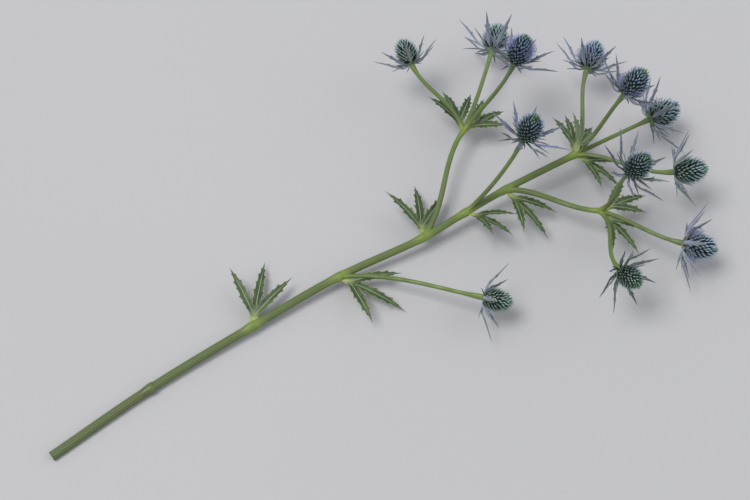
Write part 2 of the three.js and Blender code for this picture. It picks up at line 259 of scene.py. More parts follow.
def newGroup(name, inputs, outputs):
    group = bpy.data.node_groups.new(name, "ShaderNodeTree")
    for label, value in inputs.items():
        socket = group.interface.new_socket(label, in_out="INPUT", socket_type="NodeSocketFloat")
        socket.default_value = value
    for label in outputs:
        group.interface.new_socket(label, in_out="OUTPUT", socket_type="NodeSocketFloat")
    return group, group.nodes.new("NodeGroupInput").outputs, group.nodes.new("NodeGroupOutput").inputs


def mottleGroup():
    # Blotch: soft noise from 0 to 1. Grain: fine noise for a bump. Both on Object coordinates.
    group, given, out = newGroup("plantMottle", {"Blotches": 60, "Fineness": 900}, ["Blotch", "Grain"])
    where = addNode(group, "ShaderNodeTexCoord").outputs["Object"]
    coarse = {"Vector": where, "Scale": given["Blotches"], "Detail": 3.0}
    fine = {"Vector": where, "Scale": given["Fineness"], "Detail": 2.0}
    blotch = addNode(group, "ShaderNodeTexNoise", coarse)
    grain = addNode(group, "ShaderNodeTexNoise", fine)
    group.links.new(between(group, blotch.outputs["Fac"], 0.32, 0.68), out["Blotch"])
    group.links.new(grain.outputs["Fac"], out["Grain"])
    return group


def veinGroup():
    # Midrib: a line where across is 0. Veins: lines that leave it aslant, as stripes of
    # along - slant * |across|, and wander with soft noise. Margin: the outermost part of the blade.
    inputs = {"Count": 14, "Slant": 0.35, "Midrib width": 0.12, "Margin width": 0.12, "Wander": 0.07}
    group, given, out = newGroup("bladeVeins", inputs, ["Midrib", "Veins", "Margin"])
    off = maths(group, "ABSOLUTE", attribute(group, "across"))
    reach = maths(group, "DIVIDE", off, given["Midrib width"])
    midrib = maths(group, "SUBTRACT", 1.0, between(group, reach, 0.4, 1.0))
    back = maths(group, "MULTIPLY", off, given["Slant"])
    where = addNode(group, "ShaderNodeTexCoord").outputs["Object"]
    drift = addNode(group, "ShaderNodeTexNoise", {"Vector": where, "Scale": 180.0, "Detail": 1.0})
    wander = maths(group, "MULTIPLY", drift.outputs["Fac"], given["Wander"])
    stripe = maths(group, "ADD", maths(group, "SUBTRACT", attribute(group, "along"), back), wander)
    saw = maths(group, "FRACT", maths(group, "MULTIPLY", stripe, given["Count"]))
    fromMiddle = maths(group, "ABSOLUTE", maths(group, "SUBTRACT", saw, 0.5))
    veins = maths(group, "SUBTRACT", 1.0, between(group, fromMiddle, 0.03, 0.12))
    edge = maths(group, "SUBTRACT", 1.0, given["Margin width"])
    margin = between(group, maths(group, "SUBTRACT", off, edge), -0.05, 0.06)
    group.links.new(midrib, out["Midrib"])
    group.links.new(veins, out["Veins"])
    group.links.new(margin, out["Margin"])
    return group


mottle = mottleGroup()
bladeVeins = veinGroup()


def surface(name, roughness=0.5, sheen=0.0, shine=0.5):
    material = bpy.data.materials.new(name)
    material.use_nodes = True
    tree = material.node_tree
    shader = tree.nodes["Principled BSDF"]
    shader.inputs["Roughness"].default_value = roughness
    shader.inputs["Sheen Weight"].default_value = sheen
    shader.inputs["Specular IOR Level"].default_value = shine
    return material, tree, shader


def groupIn(tree, group, **inputs):
    node = addNode(tree, "ShaderNodeGroup", node_tree=group)
    for label, value in inputs.items():
        node.inputs[label.replace("_", " ")].default_value = value
    return node.outputs


def finishWith(tree, shader, colour, gloss, height, strength, distance):
    # gloss is a mask and the two roughnesses that it runs between
    tree.links.new(colour, shader.inputs["Base Color"])
    mask, low, high = gloss
    tree.links.new(between(tree, mask, 0.0, 1.0, low, high), shader.inputs["Roughness"])
    inputs = {"Height": height, "Strength": strength, "Distance": distance}
    relief = addNode(tree, "ShaderNodeBump", inputs)
    tree.links.new(relief.outputs["Normal"], shader.inputs["Normal"])


def ripeness(tree, speck, cloudiness):  # the head's own blue, clouded by the blotches
    cloud = maths(tree, "MULTIPLY", speck["Blotch"], cloudiness)
    return maths(tree, "SUBTRACT", maths(tree, "ADD", attribute(tree, "blue"), cloud), 0.15, clamp=True)


def veinLines(tree, veins, faintness):  # the midrib, and the side veins fainter than it
    sideVeins = maths(tree, "MULTIPLY", veins["Veins"], faintness)
    return maths(tree, "MAXIMUM", sideVeins, veins["Midrib"])


def stalkMaterial():
    # green towards the heads, blue-grey under the ripest, brown at the foot, paler on the ribs and
    # yellow round the joints
    material, tree, shader = surface("ribbedStalk")
    speck = groupIn(tree, mottle, Blotches=70, Fineness=700)
    green = mixed(tree, attribute(tree, "blue"), paint("stalkTop"), paint("stalkBlue"))
    base = mixed(tree, attribute(tree, "tone"), paint("stalkFoot"), green)
    dull = mixed(tree, maths(tree, "MULTIPLY", speck["Blotch"], 0.4), base, paint("stalkFoot"))
    ridge = maths(tree, "MULTIPLY", attribute(tree, "rib"), 0.45)
    ribbed = mixed(tree, ridge, dull, paint("stalkRib"))
    colour = mixed(tree, attribute(tree, "joint"), ribbed, paint("knuckle"))
    finishWith(tree, shader, colour, (speck["Blotch"], 0.36, 0.56), speck["Grain"], 0.25, 0.0004)
    return material


def cutMaterial():
    # a pale pith inside a greener rim, with the ends of the fibres as dots
    material, tree, shader = surface("cutPith")
    speck = groupIn(tree, mottle, Blotches=900, Fineness=2400)
    rim = between(tree, attribute(tree, "outward"), 0.62, 0.92)
    base = mixed(tree, rim, paint("pith"), paint("cutRim"))
    dots = maths(tree, "MULTIPLY", speck["Blotch"], 0.35)
    colour = mixed(tree, dots, base, paint("stalkFoot"))
    finishWith(tree, shader, colour, (speck["Grain"], 0.6, 0.85), speck["Blotch"], 0.5, 0.0003)
    return material


def floretMaterial():
    # near black painted shade at the root, green or blue by the head's ripeness, silver at the tip;
    # violet stamens
    material, tree, shader = surface("floretPoints", sheen=0.1, shine=0.3)
    speck = groupIn(tree, mottle, Blotches=160, Fineness=1500)
    ripe = ripeness(tree, speck, 0.3)
    body = mixed(tree, ripe, paint("floretGreen"), paint("floretBlue"))
    tip = mixed(tree, ripe, paint("floretGreenTip"), paint("floretBlueTip"))
    tone = attribute(tree, "tone")
    # painted shade: near black where the tone is low, at the spikes' roots and on the core and cups
    lower = mixed(tree, between(tree, tone, 0.22, 0.6), paint("floretRootShade"), body)
    spike = mixed(tree, between(tree, tone, 0.45, 0.92), lower, tip)
    bloom = attribute(tree, "bloom")
    thread = mixed(tree, between(tree, bloom, 0.0, 0.4), spike, paint("stamen"))
    colour = mixed(tree, between(tree, bloom, 0.6, 0.9), thread, paint("anther"))
    finishWith(tree, shader, colour, (speck["Blotch"], 0.4, 0.62), speck["Grain"], 0.2, 0.0003)
    return material


def bractMaterial():
    # green where it leaves the stalk, then silvery jade or lilac by the head's ripeness, and dull
    # towards its dark tip, with a pale midrib and margins; duskier on some, most on the short ones
    material, tree, shader = surface("silverBract", sheen=0.12)
    speck = groupIn(tree, mottle, Blotches=110, Fineness=1300)
    veins = groupIn(tree, bladeVeins, Count=11, Slant=0.18, Midrib_width=0.2, Margin_width=0.14)
    ripe = ripeness(tree, speck, 0.35)
    inner = mixed(tree, ripe, paint("bractJade"), paint("bractLilac"))
    outer = mixed(tree, ripe, paint("bractGreen"), paint("bractBlue"))
    along = attribute(tree, "along")
    body = mixed(tree, between(tree, along, 0.2, 0.55), inner, outer)
    dulled = mixed(tree, between(tree, along, 0.5, 0.95, 0.0, 0.8), body, paint("bractTip"))
    grown = between(tree, attribute(tree, "reach"), 5.5, 11.0)
    lower = mixed(tree, grown, paint("bractFoot"), dulled)
    lines = veinLines(tree, veins, 0.25)
    light = maths(tree, "MAXIMUM", lines, veins["Margin"])
    under = maths(tree, "MULTIPLY", attribute(tree, "under"), 0.35)
    pale = maths(tree, "MULTIPLY", maths(tree, "MAXIMUM", light, under), 0.6)
    shown = maths(tree, "MULTIPLY", pale, between(tree, grown, 0.0, 1.0, 0.3, 1.0))
    veined = mixed(tree, shown, lower, paint("bractPale"))
    shaded = mixed(tree, attribute(tree, "dusk"), veined, paint("bractDusk"))
    colour = mixed(tree, attribute(tree, "spine"), shaded, paint("bractSpine"))
    height = maths(tree, "ADD", speck["Grain"], lines)
    finishWith(tree, shader, colour, (speck["Blotch"], 0.32, 0.5), height, 0.3, 0.0003)
    return material


def leafMaterial():
    # mid green with darker clouds, pale veins and margins, and a cream foot; duller underneath
    material, tree, shader = surface("cutLeafGreen")
    speck = groupIn(tree, mottle, Blotches=90, Fineness=1200)
    veins = groupIn(tree, bladeVeins, Count=13, Slant=0.3, Midrib_width=0.13, Margin_width=0.09)
    upper = mixed(tree, speck["Blotch"], paint("leafDark"), paint("leafBlade"))
    base = mixed(tree, attribute(tree, "under"), upper, paint("leafUnder"))
    lines = veinLines(tree, veins, 0.3)
    veined = mixed(tree, lines, base, paint("leafVein"))
    edge = maths(tree, "MAXIMUM", veins["Margin"], attribute(tree, "spine"))
    reach = attribute(tree, "reach")
    shown = maths(tree, "MULTIPLY", edge, between(tree, reach, 13.0, 20.0, 0.0, 0.75))
    edged = mixed(tree, shown, veined, paint("leafEdge"))
    foot = between(tree, reach, 5.0, 19.0, 0.9, 0.0)
    colour = mixed(tree, foot, edged, paint("leafFoot"))
    height = maths(tree, "SUBTRACT", speck["Grain"], maths(tree, "MULTIPLY", lines, 0.8))
    finishWith(tree, shader, colour, (speck["Blotch"], 0.36, 0.52), height, 0.4, 0.0004)
    return material


stalkSkin, cutSkin, floretSkin = stalkMaterial(), cutMaterial(), floretMaterial()
bractSkin, leafSkin = bractMaterial(), leafMaterial()
print("materials made")

stem = {
    "mainRadius": (4.2, 3.1),  # at the cut end and at the top fork
    "branchRadius": (2.7, 2.2),  # at its foot and at its end, as a stalk's
    "stalkRadius": (2.05, 1.8),
    "stalkFlare": 2.7,  # just under a head
    "footFlare": 1.1,  # how much a stalk widens into its fork, and over what length
    "footLength": 5.0,
    "footClosing": 0.5,  # the share of its radius to which its foot closes inside the fork
    "footClosingLength": (-1, 3.5),  # from where it is that slim to where it is whole
    "knuckle": 0.18,  # how much an axis swells at a fork, as a share of its radius
    "knuckleLength": 7.0,
    "flareFrom": 0.84,  # share of a stalk's length at which it starts to widen under its head
    "jointLength": 9.0,  # how far the pale green of a fork runs along its stalks
    "jointPaleness": 0.75,
    "leaning": 0.38,  # how much of its fork's own direction a stalk sets out with
    "handles": (0.36, 0.34),  # of a stalk's curve, as shares of the way to its head
    "branchClimb": 0.5,  # how much of its fork's direction a side branch ends with
    "mainTones": (0.1, 0.6),  # from the brown foot, 0, to the green top, 1
    "branchTones": (0.35, 0.7),
    "stalkTones": (0.5, 1.0),
    "toneSpread": 0.35,  # how much browner a stalk's foot may be than another's
    "toneOver": (0.1, 0.9),  # shares of a stalk's length over which its tone changes
    "blueOver": (0.2, 1),  # and over which its head's blue comes in
    "wornTo": 0.02,  # height of the flat spot that the cut end rests on
    "ribs": 12,
    "stalkRibs": 9,
    "ribDepth": 0.05,  # as a share of the radius
    "ribTwist": 0.5,  # radians from one end to the other
    "pointsPerRib": 6,
    "ringsPerSpan": 26,
    "stalkRings": 56,
    "domeRings": 7,  # round the end of an axis at its last fork
    "domeLength": 1.25,  # times the radius
}


def mainRoute(perSpan):
    # Centripetal Catmull-Rom: between two knots runs a cubic whose slopes at its ends come from the
    # neighbouring knots, each weighed by the square root of its distance.
    knots = np.array(plant["mainAxis"], float)
    knots = np.vstack((2 * knots[0] - knots[1], knots, 2 * knots[-1] - knots[-2]))
    step = np.sqrt(np.linalg.norm(np.diff(knots, axis=0), axis=1))[:, None]
    before, first, last, after = knots[:-3], knots[1:-2], knots[2:-1], knots[3:]
    pre, mid, post = step[:-2], step[1:-1], step[2:]
    slopeIn = (first - before) / pre - (last - before) / (pre + mid) + (last - first) / mid
    slopeOut = (last - first) / mid - (after - first) / (mid + post) + (after - last) / post
    slopeIn, slopeOut = slopeIn * mid, slopeOut * mid
    share = np.linspace(0, 1, perSpan, endpoint=False)[:, None, None]
    spans = (
        (2 * share**3 - 3 * share**2 + 1) * first
        + (share**3 - 2 * share**2 + share) * slopeIn
        + (3 * share**2 - 2 * share**3) * last
        + (share**3 - share**2) * slopeOut
    )
    return np.vstack((spans.transpose(1, 0, 2).reshape(-1, 3), knots[-2]))


mainLine = mainRoute(stem["ringsPerSpan"])


def forkAt(start):  # the place, the growing direction and the radius at a fork
    if start in branchLines:
        line = branchLines[start]
        return line[-1], unit(line[-1] - line[-2]), stem["branchRadius"][1]
    index = start * stem["ringsPerSpan"]
    low, high = max(index - 1, 0), min(index + 1, len(mainLine) - 1)
    share = plant["mainAxis"][start][0] / plant["mainAxis"][-1][0]
    return mainLine[index], unit(mainLine[high] - mainLine[low]), blend(stem["mainRadius"], share)


def offshoot(fork, end, facing):
    # A cubic Bezier line. It leaves its fork between the parent's direction and the straight way to
    # its end, and arrives facing the given way.
    place, along, _ = fork
    straight = end - place
    length = np.linalg.norm(straight)
    leave = unit(unit(straight) * (1 - stem["leaning"]) + along * stem["leaning"])
    near, far = stem["handles"]
    one, two = place + leave * length * near, end - facing * length * far
    share = np.linspace(0, 1, stem["stalkRings"])[:, None]
    rest = 1 - share
    return rest**3 * place + 3 * rest**2 * share * one + 3 * rest * share**2 * two + share**3 * end


branchLines = {}
for name, branch in plant["sideForks"].items():
    fork = forkAt(branch["start"])
    end = np.array(branch["end"], float)
    level = unit((end - fork[0]) * (1, 1, 0))
    branchLines[name] = offshoot(fork, end, unit(level + fork[1] * stem["branchClimb"]))
stalkLines = [
    offshoot(forkAt(head["start"]), np.array(head["end"], float), unit(head["facing"]))
    for head in heads
]


def lengthAlong(line):  # from its first point to each of its points
    return np.append(0, np.cumsum(np.linalg.norm(np.diff(line, axis=0), axis=1)))


def middleNear(start, z):  # the middle of the stem at heights z from a fork, straight on past its end
    line = branchLines.get(start, mainLine)
    far = lengthAlong(line)
    last = len(line) - 1 if start in branchLines else start * stem["ringsPerSpan"]
    there = far[last] + z
    middle = np.stack([np.interp(there, far, line[:, axis]) for axis in range(3)], -1)
    return middle + np.maximum(there - far[-1], 0)[..., None] * forkAt(start)[1]


def ribbedTube(shape, line, radius, ribs, looks, across=None, dome=False):
    # Rings round the line. The radius at an angle is radius * (1 + depth * cos(ribs * angle)), with
    # the ribs turning slowly, and the angle starts square to the way across, which is square to the
    # plane that the line bends in where it isn't given. A dome adds rings at sin(t) along and cos(t)
    # outwards, for t up to almost a right angle.
    if dome:
        turn = np.linspace(0, np.pi / 2, stem["domeRings"] + 1)[1:] * 0.98
        ahead = np.sin(turn)[:, None] * radius[-1] * stem["domeLength"]
        line = np.vstack((line, line[-1] + ahead * unit(line[-1] - line[-2])))
        radius = np.append(radius, radius[-1] * np.cos(turn))
        looks = {name: np.append(value, value[-1] + 0 * turn) for name, value in looks.items()}
    along = unit(np.gradient(line, axis=0))
    if across is None:
        across = np.cross(along[0], along[-1])
    first = unit(np.cross(across, along))
    second = np.cross(along, first)
    angle = circle(ribs * stem["pointsPerRib"])
    twist = np.linspace(0, stem["ribTwist"], len(line))[:, None]
    ridge = np.cos(ribs * (angle + twist))
    reach = radius[:, None] * (1 + stem["ribDepth"] * ridge)
    outward = np.cos(angle)[:, None] * first[:, None] + np.sin(angle)[:, None] * second[:, None]
    points = line[:, None] + reach[..., None] * outward
    points[..., 2] = np.maximum(points[..., 2], stem["wornTo"])
    looks = {name: value[:, None] for name, value in looks.items()}
    shape.add(points, rib=0.5 + 0.5 * ridge, **looks)


sheath = {
    "below": 10.0,  # how far a leaf's clasping base runs down the stem, and how far up
    "above": 3.8,
    "swell": 0.17,  # times the stem's radius, on the leaf's side
    "backSwell": 0.35,  # of that, on the far side
    "rings": 18,
    "sides": 32,
    # what a stripped leaf has left low on the stem
    "scar": {"start": 1, "out": (0.1, -0.5, 0.8), "grow": 1.2, "tone": 0.05, "joint": 0.3},
}


def sheathRing(shape, start, out, grow=1.0, tone=0.9, joint=0.85):
    # A leaf's base clasping the stem. With u from 0 below to 1 above and an angle from the leaf's
    # side, its radius is the stem's times 0.99 + swell * grow * 1.25 * u^1.2 * (1 - u^6) * facing,
    # where facing falls as a cosine from 1 on the leaf's side to the back swell on the far side.
    _, along, radius = forkAt(start)
    stand = standing((0, 0, 0), along, out)
    u = np.linspace(0, 1, sheath["rings"])[:, None]
    angle = circle(sheath["sides"])
    facing = sheath["backSwell"] + (1 - sheath["backSwell"]) * (1 + np.cos(angle)) / 2
    profile = 1.25 * u**1.2 * (1 - u**6)
    z = -sheath["below"] + (sheath["below"] + sheath["above"]) * u + 0 * angle
    core = radius * (1 + stem["knuckle"] * bump(z, 0, stem["knuckleLength"]))
    wide = core * (0.99 + sheath["swell"] * grow * profile * facing)
    rings = np.stack((wide * np.cos(angle), wide * np.sin(angle), 0 * z), -1)
    points = placed(rings, stand) + middleNear(start, z)
    shape.add(points, rib=0.2, tone=tone, joint=joint * profile * facing, blue=0)


def mainStalk(shape):  # the main axis, swollen and paler at each knot that bears a leaf
    far = lengthAlong(mainLine)
    share = far / far[-1]
    knots = far[2 * stem["ringsPerSpan"] :: stem["ringsPerSpan"], None]
    swelling = bump(far, knots, stem["knuckleLength"]).max(0)
    radius = blend(stem["mainRadius"], share) * (1 + stem["knuckle"] * swelling)
    looks = {
        "tone": blend(stem["mainTones"], share),
        "joint": stem["jointPaleness"] * bump(far, knots, stem["jointLength"]).max(0),
        "blue": 0 * share,
    }
    ribbedTube(shape, mainLine, radius, stem["ribs"], looks, across=(0, 1, 0.01), dome=True)


def sideStalk(shape, line, radius, tone, blue, dome):
    # It widens into its fork, and at its end it widens under a head or swells where it forks. Its
    # foot narrows again, so that it closes inside the fork.
    far = lengthAlong(line)
    share = far / far[-1]
    swelling = radius[1] * stem["knuckle"] * bump(far, far[-1], stem["knuckleLength"])
    if not dome:
        swelling = (stem["stalkFlare"] - radius[1]) * smoothStep(share, stem["flareFrom"], 1)
    foot = stem["footFlare"] * bump(far, 0, stem["footLength"])
    joint = bump(far, 0, stem["jointLength"]) + dome * bump(far, far[-1], stem["jointLength"])
    looks = {
        "tone": blend(tone, smoothStep(share, *stem["toneOver"])),
        "joint": stem["jointPaleness"] * joint,
        "blue": blue * smoothStep(share, *stem["blueOver"]),
    }
    sunk = blend((stem["footClosing"], 1), smoothStep(far, *stem["footClosingLength"]))
    radius = (blend(radius, share) + foot + swelling) * sunk
    ribbedTube(shape, line, radius, stem["stalkRibs"], looks, dome=dome)


def stemPiece():
    shape = Shape()
    mainStalk(shape)
    for line in branchLines.values():
        sideStalk(shape, line, stem["branchRadius"], stem["branchTones"], 0, True)
    footTone, topTone = stem["stalkTones"]
    for number, (head, line) in enumerate(zip(heads, stalkLines)):
        tones = (footTone - stem["toneSpread"] * draw(number), topTone)
        sideStalk(shape, line, stem["stalkRadius"], tones, head["blue"] ** 2, False)
    for leaf in leaves:
        sheathRing(shape, leaf["start"], leaf["out"])
    sheathRing(shape, **sheath["scar"])
    return shape.make("stemAndStalks", stalkSkin, "stem")


cut = {
    "inset": 0.985,  # times the stem's radius
    "proud": 0.05,  # how far its rim stands out, how much further its middle does, and its ripples
    "crown": 0.3,
    "ripple": 0.12,
    "skirt": 0.4,  # how deep its rim is sunk in the stem
    "wornTo": 0.03,  # height of its own flat spot, a hair above the stem's
    "rings": 10,
}


def cutPiece():
    # The cut end: a disc a hair outside the stem's own end, crowned by the square of the distance,
    # less three ripples that wind inwards and fade at the rim.
    shape = Shape()
    stand = standing(mainLine[0], mainLine[0] - mainLine[1], (0, 1, 0))
    reach = np.linspace(1, 0.02, cut["rings"])[:, None]
    angle = circle(stem["ribs"] * stem["pointsPerRib"])
    fluted = 1 + stem["ribDepth"] * np.cos(stem["ribs"] * angle)
    radius = stem["mainRadius"][0] * cut["inset"] * reach * fluted
    ripple = cut["ripple"] * np.sin(3 * angle + 5 * reach) * (1 - reach)
    z = cut["proud"] + cut["crown"] * (1 - reach**2) - ripple
    points = np.stack((radius * np.cos(angle), radius * np.sin(angle), z), -1)
    rings = placed(np.concatenate((points[:1] - (0, 0, cut["skirt"]), points)), stand)
    rings[..., 2] = np.maximum(rings[..., 2], cut["wornTo"])
    shape.add(rings, outward=np.vstack((1, reach)))
    return shape.make("cutEnd", cutSkin, None)


stemPiece()
cutPiece()
print("stem made")

tooth = {
    "climb": 0.08,  # shares of a blade's length
    "drop": 0.022,
    "stagger": 0.012,  # between the two margins
    "sharpness": 1.8,
}
section = {
    "thinning": 0.35,  # share of its thickness that a blade loses on the way to its tip
    "tipThinning": 8,  # times the share that is left of its length, where that is under 1
    "end": 0.995,  # share of its length at which a blade's last ring closes it
    "top": 0.16,  # the two sides' share of the thickness
    "bottom": 0.3,
    "groove": 0.14,  # on the midrib above, and its half width as a share of the blade's
    "grooveWidth": 0.2,
    "keel": 0.5,  # on the midrib below
    "keelWidth": 0.24,
    "tipSpine": (0.93, 0.99),  # where the spine's colour comes in, towards the blade's tip
    "toothSpine": (0.35, 0.8),  # and towards a tooth's
}


def lanceTaper(share, foot, widest, widening, closing, power):
    # From the foot's width to the widest by an S curve. Over the last stretch, of length closing, it
    # is times a power of what is left.
    width = blend((foot, widest), smoothStep(share, *widening))
    return width * np.clip((1 - share) / closing, 0, 1) ** power


def toothAt(share, place, spread):  # climbs slowly to the tooth's tip and drops quickly past it
    climb = np.clip((share - place) / tooth["climb"] + 1, 0, 1) ** tooth["sharpness"]
    drop = np.clip((place - share) / tooth["drop"] + 1, 0, 1)
    return spread * np.minimum(climb, drop)


def blades(shape, blade, stand, size=1.0, **values):
    # A lens-shaped section carried along a path that leaves the Z axis and climbs by rise(share)
    # degrees, for several blades at once. Across a blade v runs from 1 to -1 over the top and back
    # below. Its height is fold * v^2 and the margin's waves, and a share of the thickness, less a
    # groove on the midrib above and a keel below. An edge under 1 keeps the margin's colour off it.
    azimuth, length = blade["azimuth"], blade["length"]
    count, rings, sides = len(azimuth), blade["rings"], blade["sides"]
    share = np.linspace(0, section["end"], rings) * np.ones((count, 1))
    slope = np.radians(blade["rise"](share))
    run = np.diff(share, axis=1, prepend=0) * length[:, None]
    along = blade["start"] + np.cumsum(np.cos(slope) * run, 1)
    climb = blade["height"] + np.cumsum(np.sin(slope) * run, 1)
    angle = circle(sides)
    v, upper = np.cos(angle), np.sin(angle)
    width = blade["halfWidth"] * blade["taper"](share)
    teeth = np.zeros((count, rings, sides))
    stagger = tooth["stagger"] * np.where(v > 0, 1, -1)
    for place, spread in blade["teeth"]:
        place, spread = np.reshape(place, (-1, 1, 1)), np.reshape(spread, (-1, 1, 1))
        teeth += toothAt(share[..., None], place + stagger, spread)
    teeth *= np.abs(v) ** 4
    across = v * (width[..., None] + blade["halfWidth"] * teeth)
    ahead = blade["toothLean"] * teeth * np.abs(v)
    tipThin = np.minimum(1, section["tipThinning"] * (1 - share))
    thick = blade["thickness"] * (1 - section["thinning"] * share) * tipThin
    groove = section["groove"] * bump(v, 0, section["grooveWidth"])
    keel = section["keel"] * bump(v, 0, section["keelWidth"])
    lens = np.where(upper > 0, section["top"] * upper - groove, section["bottom"] * upper - keel)
    wave = blade["wave"] * np.sin(share * blade["waveCount"] * 2 * np.pi + azimuth[:, None] * 7)
    ruffle = (wave * width / blade["halfWidth"])[..., None] * v**2 * np.sign(v)
    raised = thick[..., None] * lens + (blade["fold"] * width)[..., None] * v**2 + ruffle
    cos, sin = np.cos(slope)[..., None], np.sin(slope)[..., None]
    radial = along[..., None] + ahead * cos - raised * sin
    height = climb[..., None] + ahead * sin + raised * cos
    turn = azimuth[:, None, None]
    x = radial * np.cos(turn) - across * np.sin(turn) + blade["shift"]
    y = radial * np.sin(turn) + across * np.cos(turn)
    tipSpine = smoothStep(share, *section["tipSpine"])[..., None]
    shape.add(
        placed(np.stack((x, y, height), -1), stand, size),
        along=share[..., None],
        across=v * blade["edge"],
        reach=radial + blade["shift"],
        under=upper < 0,
        spine=np.maximum(tipSpine, smoothStep(teeth, *section["toothSpine"])),
        **{name: value[:, None, None] for name, value in values.items()},
    )


# Heights on a head's core run from -1 at its foot to 1 at its tip.
cone = {
    "coreRadius": 9.0,
    "coreHalfHeight": 14.3,
    "taper": 0.13,  # how much narrower the top is than the bottom
    "baseCut": 0.8,  # share of the half height at which the core is cut flat
    "florets": 208,
    "coreInset": 0.9,
    "rootInset": 1.2,
    "clearance": 1.0,  # between the collar and the lowest roots
    "levelling": 0.6,  # what is left of the slope at which a spike would stand square to the core
    "lift": 0.5,  # how far the spikes lean towards the tip
    "lowLift": 0.3,  # and how much further those at the bottom do
    "unevenness": 0.26,  # how far a spike may stray from its way
    "spikeLength": 6.9,
    "lengthSpread": (0.86, 1.14),
    "crown": (0.55, 1),  # heights on the core over which the spikes get shorter and duller
    "crownShortening": 0.2,
    "crownDulling": 0.3,
    "spikeHalfWidth": 0.7,
    "spikeHalfThickness": 0.32,
    "spikeCurl": 1.5,  # how far its tip bends up
    "spikeDrop": 0.7,  # how far below its flower's root it starts, and how far above it the cup does
    "cupLift": 0.5,
    "cupLength": 3.1,  # of the flower cup beside each spike
    "cupRadius": 0.85,
    "petals": 5,
    "petalSpread": 0.3,  # how far a petal's point stands out from the rim, and up, and how much paler
    "petalHeight": 1.3,
    "petalTone": 0.4,
    "footBlue": 0.45,  # how blue the lowest spikes are, as a share of the head's own blue
    "footHeights": (-0.7, 0.5),  # over which the rest of it comes in
    "topGreen": 0.8,  # how much of that blue the unopened flowers at the head's tip lack
    "topHeights": (0.7, 1),
    "blueSpread": 0.25,
    "ripeness": 0.7,  # how blue a head is when its stamens are out
    "bloomHeights": (-2.4, 0.2),  # of the belt of open flowers, if the blue were 0 and if it is 1
    "bloomReach": 0.36,  # half the belt's own height
    "stamens": 3,  # to a flower
    "stamenLength": 8.2,
    "stamenSpread": (0.8, 1.1),
    "stamenRadius": 0.11,
    "stamenSpray": (0.5, 2.2),  # how far it stands off to its side at its foot and at its end
    "coreTop": 0.995,  # height of the core's last ring
    "coreRings": 12,
    "coreSides": 20,
}

whorl = {
    "collarRadius": 5.4,
    "collarHeight": 1.7,
    "bractHeight": 1.224,  # of the bracts' feet in the collar
    "sunk": 3.0,  # how deep a long bract's foot lies in the collar, and a short one's
    "shortSunk": 1.8,
    "bracts": 8,
    "length": 41,
    "lengthSpread": (0.88, 1.12),
    "halfWidth": 1.75,
    "outline": {"foot": 0.52, "widest": 1.12, "widening": (0, 0.52), "closing": 0.42, "power": 0.8},
    "thickness": 0.8,
    "straying": 0.22,  # radians from the furthest that a bract strays to one side to the other
    "rise": (26, 48),  # degrees above the whorl's plane
    "unfold": (0.16, 0.44),  # shares of the length between which a bract bends up
    "easing": (1.1, 0.8),  # times that, from its foot to its tip
    "shortLength": (15, 27),  # of the two short bracts in each gap between long ones
    "shortSpread": 0.36,  # radians between the two
    "shortHalfWidth": 0.85,
    "shortRise": (-10, 36),
    "blueShare": 0.8,  # of the head's own blue
    "blueSpread": 0.9,
    "dusk": 0.55,  # how dark the duskiest long bract is, and the short ones at least and at most
    "shortDusk": (0.3, 0.7),
    "collarSides": 32,
    "collarWave": 0.03,  # a share of its radius, once round for each long bract
    # the collar's outline from below to above, as shares of its radius and its height
    "collar": [(0.5, 0), (0.55, -0.1), (0.8, 0.05), (1, 0.5), (1, 0.8), (0.9, 1), (0.1, 1)],
}


def coreSpot(units, inset):
    # For each direction, its place on the egg-shaped core: an ellipsoid that is sunk in by the inset
    # and narrowed by 1 - taper * z.
    z = units[..., 2:]
    wide = cone["coreRadius"] - inset
    centre = cone["coreHalfHeight"] * cone["baseCut"] + whorl["collarHeight"] + 2 * plant["seat"]
    height = centre + z * (cone["coreHalfHeight"] - inset)
    return np.concatenate((units[..., :2] * (1 - cone["taper"] * z) * wide, height), -1)


def headStand(head):
    facing = np.array(head["facing"], float)
    return standing(head["end"], facing, np.cross((0, 0, 1), facing))


def flowerStands(number, head):
    # Golden-angle directions cover the core. Every flower has its root, a way that it grows, and two
    # directions across that way, the second leaning to the head's tip.
    index = np.arange(cone["florets"])
    z = 1 - 2 * (index + 0.5) / cone["florets"]
    swing, flat = index * np.pi * (3 - np.sqrt(5)), np.sqrt(1 - z**2)
    units = np.stack((flat * np.cos(swing), flat * np.sin(swing), z), -1)
    roots = coreSpot(units, cone["rootInset"])
    kept = roots[:, 2] > whorl["collarHeight"] + cone["clearance"]
    units, roots, z, seed = units[kept], roots[kept], z[kept], number * 450 + index[kept] * 2
    lean = cone["lift"] + cone["lowLift"] * np.maximum(0, -z)
    way = unit(units * (1, 1, cone["levelling"]) + lean[:, None] * (0, 0, 1))
    side = unit(np.cross((0, 0, 1), way))
    aside = stray(cone["unevenness"], seed)[:, None] * side
    aside = aside + stray(cone["unevenness"], seed + 1)[:, None] * np.cross(way, side)
    way = unit(way + aside)
    side = unit(np.cross((0, 0, 1), way))
    return roots, z, draw(seed + 0.5), way, side, np.cross(way, side)


def flowerTubes(shape, place, stands, middle, wide, deep, **values):
    # One tube a flower. Its rings go round the middle, wide to the side and deep the other way.
    *_, side, over = stands
    points = middle + wide[..., None] * side[:, None, None] + deep[..., None] * over[:, None, None]
    shape.add(place(points), **values)


